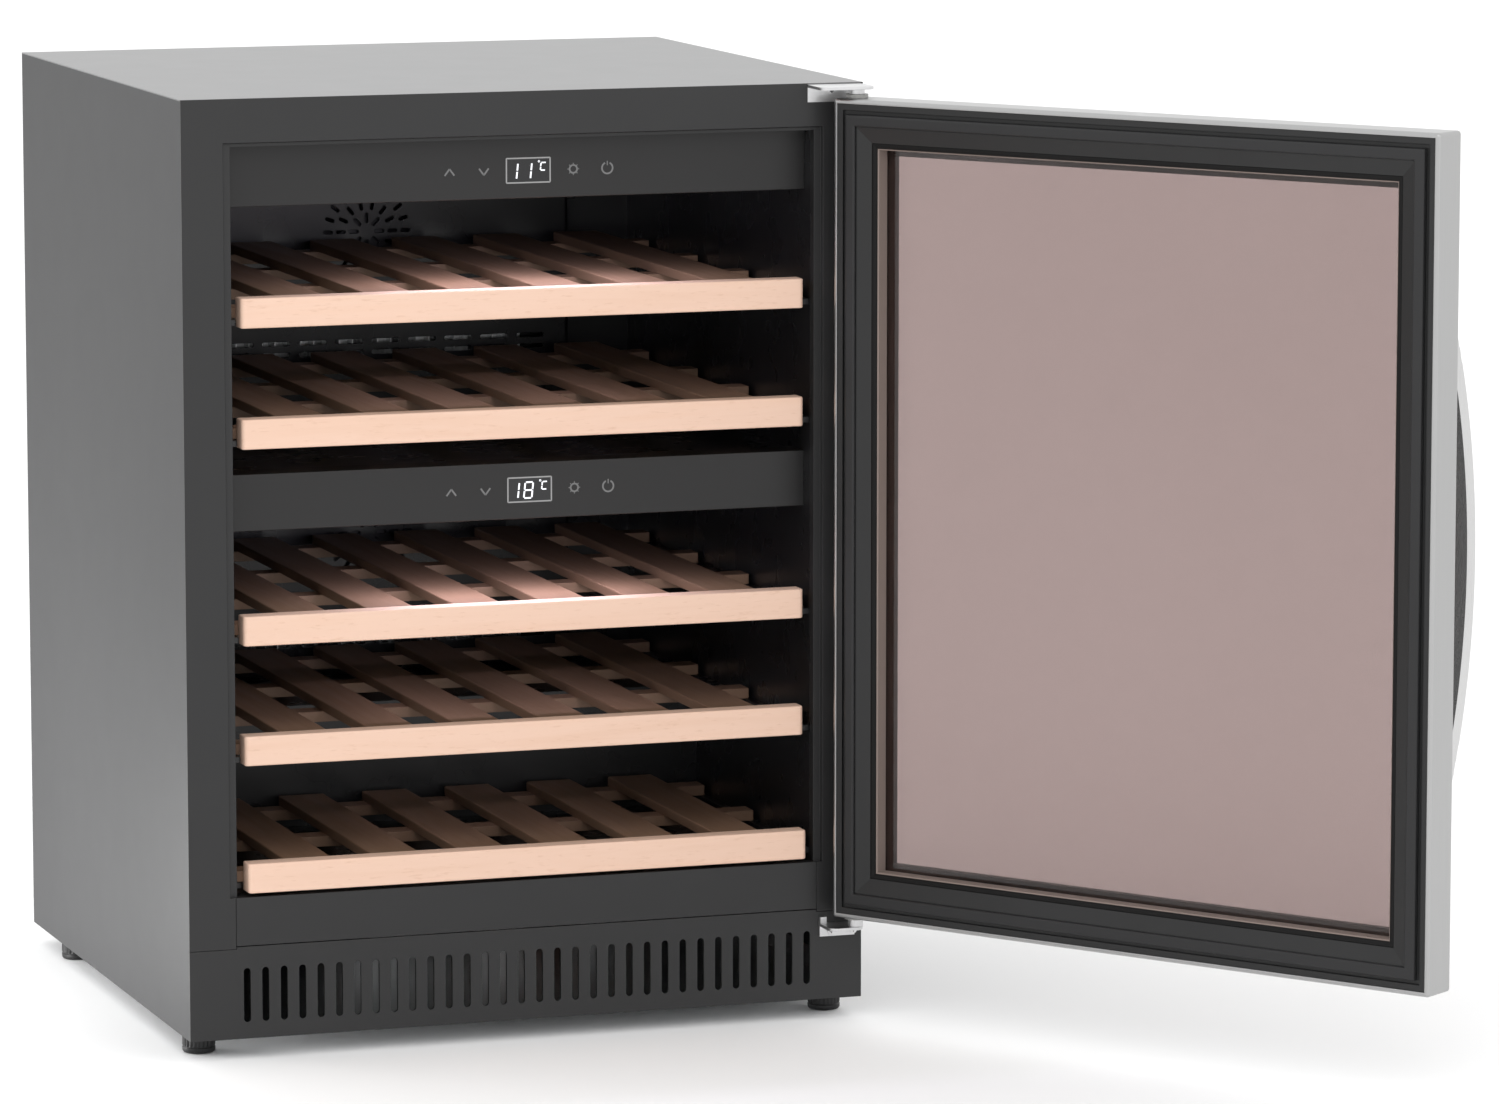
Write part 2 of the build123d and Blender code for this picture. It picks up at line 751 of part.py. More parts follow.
with BuildPart() as hinge_screws:
    for level, face, length in ((top_screw_z, flange_face, 9.0), (bottom_screw_z, -plate_thickness, 6.0)):
        for x in bracket_screw_x:
            with Locations((x, face - head_height / 2, level)):
                Cylinder(head_radius, head_height, rotation=(90, 0, 0))
            with Locations((x, (length + face) / 2, level)):
                Cylinder(screw_radius, length - face, rotation=(90, 0, 0))
save(hinge_screws.part, "hinge_screws")

# ---------------------------------------------------------------- door, built shut

pan_wall = 1.0
lip = 4.0
face_border = 45.0
glass_edge = 41.0
glass_seat = 36.0
glass_recess = 19.5
pane = 4.0
spacer_depth = 6.5
door_outer = door_face - door_thickness
bush_radius, bush_depth = 7.0, 14.0
collar_radius = 9.5
edge_radius = 3.0


def door_slab(inset, radius):
    """The shut door's whole outline moved in by an inset, with its edges rounded."""
    with BuildPart() as blank:
        with Locations((0, door_face - door_thickness / 2, door_z)):
            Box(door_width - 2 * inset, door_thickness - 2 * inset, door_height - 2 * inset)
        fillet(blank.edges(), radius)
    return blank.part


bow_radius, bow_height, bow_thickness, bow_width = 535.0, 49.0, 15.0, 18.0
handle_edge_gap = 10.0
handle_half_length = 198.0
handle_screw_offset = 188.0
handle_x = -door_width / 2 + handle_edge_gap + bow_width / 2
screw_levels = (door_z - handle_screw_offset, door_z + handle_screw_offset)
handle_screw_radius = 2.0

with BuildPart() as door_frame:
    add(door_slab(0, edge_radius))
    add(door_slab(pan_wall, edge_radius - pan_wall), mode=Mode.SUBTRACT)
    for y, inset in ((door_face - pan_wall, lip), (door_outer, face_border)):
        with BuildSketch(front(y)):
            with Locations((0, door_z)):
                Rectangle(*door_inset(inset))
        extrude(amount=-pan_wall, mode=Mode.SUBTRACT)
    for level in (door_top - pan_wall / 2, door_low + pan_wall / 2):
        with Locations((hinge_x, hinge_y, level)):
            Cylinder(bush_radius + 0.1, pan_wall, mode=Mode.SUBTRACT)
    for level in screw_levels:
        with Locations((handle_x, door_outer + pan_wall / 2, level)):
            Cylinder(handle_screw_radius + 0.2, pan_wall, rotation=(90, 0, 0), mode=Mode.SUBTRACT)
save_door(door_frame.part, "door_frame")

gasket_outer, gasket_inner = 13.0, 23.0
dart_outer, dart_inner, dart_depth = 16.0, 19.0, 6.0
groove_outer, groove_depth = 9.5, 2.5
frame_step = 0.8

with BuildPart() as door_inner_frame:
    add(door_slab(pan_wall, edge_radius - pan_wall))
    with BuildSketch(front(door_face - pan_wall - 1)):
        with Locations((0, door_z)):
            Rectangle(*door_inset(lip))
    extrude(amount=-(1 + pan_wall - frame_step))
    for y, inset, amount in (
        (door_face - glass_recess, glass_edge, glass_recess),
        (door_outer + pan_wall, glass_seat, door_thickness - pan_wall - glass_recess),
    ):
        with BuildSketch(front(y)):
            with Locations((0, door_z)):
                Rectangle(*door_inset(inset))
        extrude(amount=-amount, mode=Mode.SUBTRACT)
    # the border slopes back towards the glass
    for y, inset in ((door_face - frame_step, gasket_inner + 1), (door_face - 6.5, glass_edge)):
        with BuildSketch(front(y)):
            with Locations((0, door_z)):
                Rectangle(*door_inset(inset))
    loft(mode=Mode.SUBTRACT)
    for outer, inner, deep in (
        (dart_outer, dart_inner, dart_depth),
        (groove_outer, gasket_outer, groove_depth),
    ):
        with BuildSketch(front(door_face - frame_step - deep)):
            with Locations((0, door_z)):
                Rectangle(*door_inset(outer))
                Rectangle(*door_inset(inner), mode=Mode.SUBTRACT)
        extrude(amount=-deep, mode=Mode.SUBTRACT)
    for level in (door_top - bush_depth / 2, door_low + bush_depth / 2):
        with Locations((hinge_x, hinge_y, level)):
            Cylinder(bush_radius + 0.1, bush_depth + 0.4, mode=Mode.SUBTRACT)
    for level in screw_levels:
        with Locations((handle_x, door_outer + pan_wall + 6.0, level)):
            Cylinder(6.0, 12.0, rotation=(90, 0, 0), mode=Mode.SUBTRACT)
save_door(door_inner_frame.part, "door_inner_frame")

with BuildPart() as door_gasket:
    with BuildSketch(front(door_face - frame_step)):
        with Locations((0, door_z)):
            Rectangle(*door_inset(gasket_outer))
            Rectangle(*door_inset(gasket_inner), mode=Mode.SUBTRACT)
    extrude(amount=-(door_gap + frame_step - 0.5))
    fillet(door_gasket.edges().group_by(Axis.Y)[-1], 1.8)
    with BuildSketch(front(door_face - frame_step - dart_depth + 0.3)):
        with Locations((0, door_z)):
            Rectangle(*door_inset(dart_outer + 0.2))
            Rectangle(*door_inset(dart_inner - 0.2), mode=Mode.SUBTRACT)
    extrude(amount=-dart_depth)
save_door(door_gasket.part, "door_gasket")

panes = (
    ("inner_glass", door_face - glass_recess - pane),
    ("outer_glass", door_face - glass_recess - 2 * pane - spacer_depth),
)
for name, y in panes:
    with BuildPart() as glass:
        with BuildSketch(front(y)):
            with Locations((0, door_z)):
                Rectangle(*door_inset(glass_seat + 0.2))
        extrude(amount=-pane)
    save_door(glass.part, name)

with BuildPart() as glass_spacer:
    with BuildSketch(front(door_face - glass_recess - pane - spacer_depth)):
        with Locations((0, door_z)):
            Rectangle(*door_inset(glass_seat + 0.6))
            Rectangle(*door_inset(glass_edge + 7.0), mode=Mode.SUBTRACT)
    extrude(amount=-spacer_depth)
save_door(glass_spacer.part, "glass_spacer")

bow_centre = door_outer - bow_height + bow_radius
foot_length = 20.0
screw_hole_depth = 6.0


def bow_y(radius, offset):
    """Depth of an arc about the bow's centre, at a height above its middle."""
    return bow_centre - sqrt(radius**2 - offset**2)


seat = handle_half_length - foot_length
inner_radius = bow_radius - bow_thickness

with BuildPart() as door_handle:
    with BuildSketch(Plane.YZ.offset(handle_x - bow_width / 2)):
        with BuildLine():
            outer_end = (bow_y(bow_radius, handle_half_length), door_z + handle_half_length)
            outer_start = (outer_end[0], door_z - handle_half_length)
            inner_end = (bow_y(inner_radius, seat), door_z + seat)
            inner_start = (inner_end[0], door_z - seat)
            ThreePointArc(outer_start, (bow_y(bow_radius, 0), door_z), outer_end)
            Polyline(outer_end, (door_outer, outer_end[1]), (door_outer, inner_end[1]), inner_end)
            ThreePointArc(inner_end, (bow_y(inner_radius, 0), door_z), inner_start)
            Polyline(inner_start, (door_outer, inner_start[1]), (door_outer, outer_start[1]), outer_start)
        make_face()
    extrude(amount=bow_width)
    fillet(door_handle.edges().filter_by(GeomType.CIRCLE).group_by(SortBy.LENGTH)[-1], 2.5)
    for level in screw_levels:
        with Locations((handle_x, door_outer - screw_hole_depth / 2, level)):
            Cylinder(
                handle_screw_radius + 0.05, screw_hole_depth, rotation=(90, 0, 0), mode=Mode.SUBTRACT
            )
save_door(door_handle.part, "door_handle")

with BuildPart() as handle_screws:
    for level in screw_levels:
        shank_start, shank_end = door_outer - screw_hole_depth + 0.2, door_outer + pan_wall + 2
        with Locations((handle_x, (shank_start + shank_end) / 2, level)):
            Cylinder(handle_screw_radius, shank_end - shank_start, rotation=(90, 0, 0))
        with Locations((handle_x, door_outer + pan_wall + 1.5, level)):
            Cylinder(4.5, 3.0, rotation=(90, 0, 0))
save_door(handle_screws.part, "handle_screws")

with BuildPart() as hinge_bushes:
    for collar_level, boss_level in (
        (door_top + collar_thickness / 2, door_top - bush_depth / 2),
        (door_low - collar_thickness / 2, door_low + bush_depth / 2),
    ):
        with Locations((hinge_x, hinge_y, collar_level)):
            Cylinder(collar_radius, collar_thickness)
        with Locations((hinge_x, hinge_y, boss_level)):
            Cylinder(bush_radius, bush_depth)
        with Locations((hinge_x, hinge_y, (collar_level + boss_level) / 2)):
            Cylinder(pin_radius + shaft_clearance, 2 * bush_depth, mode=Mode.SUBTRACT)
save_door(hinge_bushes.part, "hinge_bushes")
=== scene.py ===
import math

import bmesh
import bpy
from mathutils import Euler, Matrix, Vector


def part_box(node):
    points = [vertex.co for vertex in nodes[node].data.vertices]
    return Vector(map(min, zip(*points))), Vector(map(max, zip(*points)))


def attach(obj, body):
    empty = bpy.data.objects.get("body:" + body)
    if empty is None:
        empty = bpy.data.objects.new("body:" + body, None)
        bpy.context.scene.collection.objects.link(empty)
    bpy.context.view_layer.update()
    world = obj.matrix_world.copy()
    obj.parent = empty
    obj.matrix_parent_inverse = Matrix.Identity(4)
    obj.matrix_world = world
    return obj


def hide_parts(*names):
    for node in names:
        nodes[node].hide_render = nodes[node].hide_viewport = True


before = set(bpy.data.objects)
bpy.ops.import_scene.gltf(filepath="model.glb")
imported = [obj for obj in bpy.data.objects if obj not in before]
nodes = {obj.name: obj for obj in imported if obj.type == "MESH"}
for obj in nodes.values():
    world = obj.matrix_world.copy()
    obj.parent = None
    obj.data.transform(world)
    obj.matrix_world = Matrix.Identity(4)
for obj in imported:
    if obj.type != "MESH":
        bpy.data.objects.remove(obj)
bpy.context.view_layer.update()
scene = bpy.context.scene
scene.view_settings.view_transform = "Standard"
MM = 0.001

# the cabinet's underside, and the door: its size in mm, its axis, its middle height and its rest angle
BASE = 17.5 * MM
DOOR_WIDTH, DOOR_HEIGHT = 591.0, 701.0
PIVOT = (284.5 * MM, -22.0 * MM)
DOOR_Z = BASE + (76.0 + DOOR_HEIGHT / 2) * MM
OPEN = math.radians(125.15)

# sockets reached by number, because several sockets of these nodes share a name
MAP_RANGE_SOCKETS = (1, 2, 3, 4)  # from min, from max, to min, to max
MIX_A, MIX_B, MIX_RESULT = 6, 7, 2  # the colour sockets of the Mix node

# ---------------------------------------------------------------- materials


class Shader:
    """A Principled material with short helpers for its node tree."""

    def __init__(self, name, metallic=0.0, specular=0.5, ior=1.5):
        self.mat = bpy.data.materials.new(name)
        self.mat.use_nodes = True
        self.tree = self.mat.node_tree
        self.tree.nodes.clear()
        output = self.node("ShaderNodeOutputMaterial")
        self.bsdf = self.node("ShaderNodeBsdfPrincipled")
        self.link(self.bsdf.outputs[0], output.inputs[0])
        self.bsdf.inputs["Metallic"].default_value = metallic
        self.bsdf.inputs["Specular IOR Level"].default_value = specular
        self.bsdf.inputs["IOR"].default_value = ior
        self.coord = self.node("ShaderNodeTexCoord").outputs["Object"]

    def node(self, kind, **values):
        made = self.tree.nodes.new(kind)
        for key, value in values.items():
            setattr(made, key, value)
        return made

    def link(self, a, b):
        self.tree.links.new(a, b)

    def noise(self, scale, stretch=(1, 1, 1), detail=4.0, rough=0.55, distort=0.0):
        """Noise from the object's own coordinates; a small stretch draws it out along that axis."""
        mapping = self.node("ShaderNodeMapping")
        mapping.inputs["Scale"].default_value = stretch
        self.link(self.coord, mapping.inputs["Vector"])
        made = self.node("ShaderNodeTexNoise")
        made.inputs["Scale"].default_value = scale
        made.inputs["Detail"].default_value = detail
        made.inputs["Roughness"].default_value = rough
        made.inputs["Distortion"].default_value = distort
        self.link(mapping.outputs[0], made.inputs["Vector"])
        return made.outputs[0]

    def ramp(self, fac, stops):
        """Colours at places along a factor."""
        made = self.node("ShaderNodeValToRGB")
        while len(made.color_ramp.elements) < len(stops):
            made.color_ramp.elements.new(0.5)
        for element, (place, colour) in zip(made.color_ramp.elements, stops):
            element.position = place
            element.color = (*colour, 1.0)
        self.link(fac, made.inputs[0])
        return made.outputs[0]

    def span(self, fac, low, high, start=0.3, end=0.7):
        """A factor between start and end, carried to a value between low and high."""
        made = self.node("ShaderNodeMapRange")
        for socket, value in zip(MAP_RANGE_SOCKETS, (start, end, low, high)):
            made.inputs[socket].default_value = value
        self.link(fac, made.inputs[0])
        return made.outputs[0]

    def math(self, operation, a, b=0.0):
        made = self.node("ShaderNodeMath", operation=operation)
        for place, value in enumerate((a, b)):
            if isinstance(value, (int, float)):
                made.inputs[place].default_value = value
            else:
                self.link(value, made.inputs[place])
        return made.outputs[0]

    def mix(self, fac, a, b):
        """Two colours mixed by a factor; each colour is a tuple or a socket."""
        made = self.node("ShaderNodeMix", data_type="RGBA")
        self.link(fac, made.inputs["Factor"])
        for socket, value in ((made.inputs[MIX_A], a), (made.inputs[MIX_B], b)):
            if isinstance(value, tuple):
                socket.default_value = (*value, 1.0)
            else:
                self.link(value, socket)
        return made.outputs[MIX_RESULT]

    def bump(self, height, strength, distance, edge=0.0):
        """Relief from a height, over normals softened at edges of the given radius."""
        made = self.node("ShaderNodeBump")
        made.inputs["Strength"].default_value = strength
        made.inputs["Distance"].default_value = distance
        self.link(height, made.inputs["Height"])
        if edge:
            bevel = self.node("ShaderNodeBevel", samples=4)
            bevel.inputs["Radius"].default_value = edge
            self.link(bevel.outputs[0], made.inputs["Normal"])
        self.link(made.outputs[0], self.bsdf.inputs["Normal"])

    def feed(self, socket, value):
        self.link(value, self.bsdf.inputs[socket])


def shade(colour, factor):
    """A colour made darker or lighter."""
    return tuple(min(1.0, c * factor) for c in colour)


def moulded(
    name, colour, rough, specular=0.5, grain=900.0, depth=0.00006, vary=0.12, edge=0.0006, gloss=0.02
):
    """Painted or moulded surface: a slight cloudiness, uneven gloss and a fine texture.

    grain is the texture's scale and depth its relief in metres; vary is how much the colour clouds,
    edge the radius its edges are softened by, and gloss how much the roughness varies.
    """
    s = Shader(name, 0.0, specular)
    cloud = s.noise(7.0, detail=5.0)
    tones = ((0.3, shade(colour, 1 - vary)), (0.7, shade(colour, 1 + vary)))
    s.feed("Base Color", s.ramp(cloud, tones))
    s.feed("Roughness", s.span(s.noise(24.0, detail=2.0), rough - gloss, rough + gloss))
    s.bump(s.noise(grain, detail=2.0), 0.35, depth, edge)
    return s.mat


def brushed(name, colour, rough, stretch, edge=0.0006, streak=0.05, shade_toward=None):
    """Brushed metal with its lines drawn out along the axis of small stretch.

    streak is how much the lines vary in colour and roughness. Faces turned towards the last argument's
    direction get painted shade: their colour is darkened to stand in for the shadow on them.
    """
    s = Shader(name, 1.0)
    lines = s.noise(900.0, stretch, detail=3.0, rough=0.7)
    cloud = s.noise(5.0, detail=3.0)
    streaks = s.ramp(lines, ((0.32, shade(colour, 1 - streak)), (0.68, shade(colour, 1 + streak))))
    tone = s.mix(s.span(cloud, 0.0, 0.35), streaks, shade(colour, 0.97))
    # painted shade: a darker colour on faces turned towards the given direction
    if shade_toward:
        facing = s.node("ShaderNodeVectorMath", operation="DOT_PRODUCT")
        s.link(s.node("ShaderNodeTexCoord").outputs["Normal"], facing.inputs[0])
        facing.inputs[1].default_value = shade_toward
        painted_shade = s.span(facing.outputs["Value"], 0.0, 1.0, start=0.80, end=0.95)
        tone = s.mix(painted_shade, tone, shade(colour, 0.42))
    s.feed("Base Color", tone)
    s.feed("Roughness", s.span(lines, rough - streak, rough + streak))
    s.bsdf.inputs["Anisotropic"].default_value = 0.45
    s.bump(lines, 0.16, 0.00003, edge)
    return s.mat


# a deck's boards lie in storeys this high, and the seed gives each storey tones of its own
STOREY_HEIGHT, STOREY_SEED = 0.06, 7.31


def timber(name, along, level, warmth=(1.0, 1.0, 1.0), pitch=0.0):
    """Pale sanded beech: growth bands and short dark flecks drawn out along one axis.

    level and warmth darken and tint it. With a pitch in metres, the tone changes from board to board.
    """
    tones = ((0.745, 0.520, 0.405), (0.710, 0.478, 0.358), (0.60, 0.37, 0.25))
    tones = [tuple(a * b * level for a, b in zip(tone, warmth)) for tone in tones]
    light, middle, dark = tones
    s = Shader(name, 0.0, 0.4)
    axis = "xyz".index(along)
    long_stretch = tuple(0.05 if i == axis else 1.0 for i in range(3))
    fleck_stretch = tuple(0.16 if i == axis else 1.0 for i in range(3))
    bands = s.noise(62.0, long_stretch, detail=5.0, rough=0.6, distort=0.6)
    colour = s.ramp(bands, ((0.28, middle), (0.5, light), (0.74, shade(middle, 1.03))))
    flecks = s.noise(520.0, fleck_stretch, detail=2.0)
    colour = s.mix(s.span(flecks, 0.0, 0.42, 0.60, 0.74), colour, dark)
    if pitch:
        parts = s.node("ShaderNodeSeparateXYZ")
        s.link(s.coord, parts.inputs[0])
        board = s.math("FLOOR", s.math("DIVIDE", parts.outputs["X"], pitch))
        storey = s.math("FLOOR", s.math("DIVIDE", parts.outputs["Z"], STOREY_HEIGHT))
        own = s.node("ShaderNodeTexWhiteNoise", noise_dimensions="1D")
        s.link(s.math("ADD", board, s.math("MULTIPLY", storey, STOREY_SEED)), own.inputs["W"])
        colour = s.mix(s.span(own.outputs["Value"], 0.0, 0.30, 0.0, 1.0), colour, shade(dark, 0.9))
    s.feed("Base Color", colour)
    s.feed("Roughness", s.span(bands, 0.42, 0.58))
    s.bump(s.noise(1500.0, fleck_stretch, detail=3.0), 0.30, 0.00008, 0.0008)
    return s.mat


def pane_of_glass(name):
    """Polished tinted pane, a little uneven in its tint."""
    s = Shader(name, 0.0, 0.5, 1.45)
    tones = ((0.3, (0.546, 0.467, 0.456)), (0.7, (0.556, 0.477, 0.466)))
    s.feed("Base Color", s.ramp(s.noise(2.0), tones))
    s.bsdf.inputs["Roughness"].default_value = 0.0
    s.bsdf.inputs["Transmission Weight"].default_value = 1.0
    return s.mat


def glowing(name, colour, strength, base=(0.8, 0.8, 0.85)):
    """A lit part, a little uneven along its length."""
    s = Shader(name, 0.0, 0.4)
    s.bsdf.inputs["Base Color"].default_value = (*base, 1.0)
    s.bsdf.inputs["Emission Strength"].default_value = strength
    s.feed("Emission Color", s.ramp(s.noise(90.0), ((0.3, shade(colour, 0.9)), (0.7, colour))))
    s.feed("Roughness", s.span(s.noise(60.0), 0.3, 0.4))
    return s.mat


def circuit_board(name):
    """Green board with a grid of pale tracks."""
    s = Shader(name, 0.0, 0.5)
    cells = s.node("ShaderNodeTexBrick")
    cells.inputs["Scale"].default_value = 90.0
    s.link(s.coord, cells.inputs["Vector"])
    green, light_green, track = (0.02, 0.12, 0.05), (0.03, 0.16, 0.06), (0.3, 0.22, 0.05)
    for key, colour in (("Color1", green), ("Color2", light_green), ("Mortar", track)):
        cells.inputs[key].default_value = (*colour, 1.0)
    s.feed("Base Color", cells.outputs[0])
    s.feed("Roughness", s.span(s.noise(80.0), 0.35, 0.5))
    s.bump(cells.outputs[1], 0.3, 0.0001)
    return s.mat


def foam_surface(name):
    """Rigid yellow foam with fine cells."""
    s = Shader(name, 0.0, 0.2)
    cells = s.node("ShaderNodeTexVoronoi")
    cells.inputs["Scale"].default_value = 900.0
    s.link(s.coord, cells.inputs["Vector"])
    tones = ((0.3, (0.62, 0.52, 0.30)), (0.7, (0.74, 0.64, 0.40)))
    s.feed("Base Color", s.ramp(s.noise(25.0), tones))
    s.feed("Roughness", s.span(s.noise(60.0), 0.8, 0.95))
    s.bump(cells.outputs[0], 0.5, 0.0004)
    return s.mat


side_paint = moulded(
    "side_paint", (0.040, 0.040, 0.041),
    rough=0.50, specular=0.22, grain=1400.0, depth=0.00003, vary=0.012, gloss=0.006,
)
# painted light: the top is the sides' paint made lighter, standing in for the bright grazing reflection on
# the top
top_paint = moulded(
    "top_paint", (0.160, 0.160, 0.162),
    rough=0.34, specular=0.42, grain=1400.0, depth=0.00002, vary=0.012, gloss=0.006,
)
frame_black = moulded(
    "frame_black", (0.0140, 0.0140, 0.0145),
    rough=0.44, specular=0.43, grain=1100.0, depth=0.00005, vary=0.05, gloss=0.015,
)
panel_black = moulded(
    "panel_black", (0.0115, 0.0110, 0.0112),
    rough=0.36, specular=0.38, grain=1500.0, depth=0.00002, vary=0.04, gloss=0.010,
)
liner_black = moulded(
    "liner_black", (0.010, 0.010, 0.011),
    rough=0.28, specular=0.5, grain=500.0, depth=0.00005, vary=0.10, edge=0.0012,
)
door_black = moulded(
    "door_black", (0.0110, 0.0112, 0.0115),
    rough=0.42, specular=0.38, grain=1200.0, depth=0.00004, vary=0.06, edge=0.0014,
)
part_black = moulded(
    "part_black", (0.022, 0.022, 0.024),
    rough=0.48, specular=0.5, grain=900.0, depth=0.00008, vary=0.12,
)
enamel = moulded(
    "enamel", (0.008, 0.008, 0.009),
    rough=0.50, specular=0.25, grain=160.0, depth=0.00020, vary=0.20, edge=0.0015,
)
foot_black = moulded(
    "foot_black", (0.0085, 0.0085, 0.0090),
    rough=0.46, specular=0.40, grain=900.0, depth=0.00006, vary=0.10,
)
rubber = moulded(
    "rubber", (0.024, 0.024, 0.026),
    rough=0.62, specular=0.35, grain=700.0, depth=0.00015, vary=0.18, edge=0.0006,
)
gasket_rubber = moulded(
    "gasket_rubber", (0.0130, 0.0130, 0.0138),
    rough=0.46, specular=0.38, grain=1300.0, depth=0.00004, vary=0.06, edge=0.0020,
)
spacer_brown = moulded(
    "spacer_brown", (0.110, 0.080, 0.068),
    rough=0.55, specular=0.30, grain=900.0, depth=0.00003, vary=0.05, edge=0.0003,
)
bead_brown = moulded(
    "bead_brown", (0.225, 0.176, 0.155),
    rough=0.50, specular=0.35, grain=900.0, depth=0.00003, vary=0.03, edge=0.0004,
)
# painted shadow: near-black for the ring that stands in for the shade of the groove round the door's glass
groove_shadow_black = moulded(
    "groove_shadow_black", (0.0035, 0.0033, 0.0033),
    rough=0.60, specular=0.20, grain=900.0, depth=0.00003, vary=0.03, edge=0.0004,
)
display_gloss = moulded(
    "display_gloss", (0.008, 0.008, 0.009),
    rough=0.14, specular=0.5, grain=60.0, depth=0.00001, vary=0.10, edge=0.0003,
)
bush_plastic = moulded(
    "bush_plastic", (0.30, 0.30, 0.29),
    rough=0.35, specular=0.5, grain=500.0, depth=0.00006, vary=0.10, edge=0.0004,
)
stainless = brushed("stainless", (0.405, 0.405, 0.404), 0.32, (1.0, 1.0, 0.012), streak=0.025)
# the handle's face towards the door gets painted shade, darkened to stand in for its shadow
handle_steel = brushed(
    "handle_steel", (0.57, 0.57, 0.568), 0.28, (1.0, 1.0, 0.012), streak=0.03,
    shade_toward=(-math.sin(OPEN), math.cos(OPEN), 0.0),
)
hinge_steel = brushed("hinge_steel", (0.62, 0.62, 0.625), 0.34, (0.05, 1.0, 1.0), 0.0005)
galvanised = brushed("galvanised", (0.46, 0.47, 0.48), 0.42, (0.10, 1.0, 0.10), 0.0004)
fin_metal = brushed("fin_metal", (0.70, 0.71, 0.72), 0.30, (1.0, 1.0, 0.06), 0.0)
copper = brushed("copper", (0.72, 0.36, 0.20), 0.28, (1.0, 0.08, 1.0), 0.0)
rail_wood = timber("rail_wood", "x", 1.0)
# painted shade: the decks are the rails' beech darkened and warmed, standing in for the shade deep in the
# cabinet and the shadows of bottles not modelled
deck_wood_shaded = timber("deck_wood_shaded", "y", 0.30, (1.0, 0.88, 0.74), 0.076)
tinted_glass = pane_of_glass("tinted_glass")
led_light = glowing("led_light", (0.80, 0.76, 1.0), 3.0)
digit_light = glowing("digit_light", (0.92, 0.97, 1.0), 0.55)
outline_light = glowing("outline_light", (0.92, 0.92, 0.92), 0.20, (0.15, 0.15, 0.15))
icon_light = glowing("icon_light", (0.90, 0.90, 0.92), 0.055, (0.12, 0.12, 0.12))
circuit = circuit_board("circuit")
foam = foam_surface("foam")

finishes = {
    side_paint: ("side_panel_left", "side_panel_right"),
    top_paint: ("top_panel",),
    frame_black: ("front_frame", "kick_grille"),
    panel_black: ("upper_control_panel", "lower_control_panel"),
    liner_black: (
        "inner_liner",
        "zone_divider",
        "shelf_runners",
        "upper_evaporator_cover",
        "lower_evaporator_cover",
    ),
    door_black: ("door_inner_frame",),
    part_black: (
        "condenser_fan_frame",
        "power_inlet",
        "condenser_fan",
        "upper_evaporator_fan",
        "lower_evaporator_fan",
    ),
    enamel: ("compressor", "evaporator_fan_motors"),
    rubber: ("compressor_mounts",),
    gasket_rubber: ("door_gasket",),
    display_gloss: ("upper_display", "lower_display", "touch_keys"),
    bush_plastic: ("hinge_bushes",),
    stainless: ("door_frame",),
    handle_steel: ("door_handle",),
    hinge_steel: (
        "top_hinge_bracket",
        "bottom_hinge_bracket",
        "hinge_pins",
        "hinge_screws",
        "handle_screws",
    ),
    galvanised: ("back_panel", "rear_grille", "base_pan", "compressor_bulkhead"),
    fin_metal: ("evaporator_plates",),
    spacer_brown: ("glass_spacer",),
    copper: ("condenser_coil", "refrigerant_lines"),
    tinted_glass: ("inner_glass", "outer_glass"),
    led_light: ("led_strips",),
    circuit: ("control_boards",),
    foam: ("insulation_foam",),
    rail_wood: tuple(f"shelf_{i}_front_rail" for i in range(1, 6)),
    deck_wood_shaded: tuple(f"shelf_{i}_deck" for i in range(1, 6)),
}

for finish, names in finishes.items():
    for name in names:
        nodes[name].data.materials.clear()
        nodes[name].data.materials.append(finish)

# ---------------------------------------------------------------- small made pieces


def piece(name, build, finish, body):
    """A new mesh piece made by build(bm), with its finish, riding on a CAD body."""
    mesh = bpy.data.meshes.new(name)
    bm = bmesh.new()
    build(bm)
    bmesh.ops.recalc_face_normals(bm, faces=bm.faces)
    bm.to_mesh(mesh)
    bm.free()
    mesh.materials.append(finish)
    made = bpy.data.objects.new(name, mesh)
    scene.collection.objects.link(made)
    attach(made, body)
    return made


def plate(bm, outline, y0, y1):
    """A thin plate facing the user, from an outline of (x, z) points in metres."""
    near = [bm.verts.new((x, y0, z)) for x, z in outline]
    far = [bm.verts.new((x, y1, z)) for x, z in outline]
    bm.faces.new(near)
    bm.faces.new(list(reversed(far)))
    for i in range(len(outline)):
        j = (i + 1) % len(outline)
        bm.faces.new((near[i], far[i], far[j], near[j]))


def bar(bm, a, b, width, y0, y1):
    """A straight stroke between two (x, z) points."""
    along = Vector(b) - Vector(a)
    side = Vector((-along.y, along.x)).normalized() * width / 2
    ends = (Vector(a) + side, Vector(b) + side, Vector(b) - side, Vector(a) - side)
    plate(bm, [tuple(p) for p in ends], y0, y1)


def ring(bm, centre, radius, width, y0, y1, start=0.0, end=360.0, count=40):
    """An arc stroke about a (x, z) centre, in degrees from +X."""
    inner, outer = radius - width / 2, radius + width / 2
    for k in range(count):
        a, b = (math.radians(start + (end - start) * (k + n) / count) for n in (0, 1))
        corners = ((inner, a), (outer, a), (outer, b), (inner, b))
        plate(bm, [(centre[0] + r * math.cos(t), centre[1] + r * math.sin(t)) for r, t in corners], y0, y1)


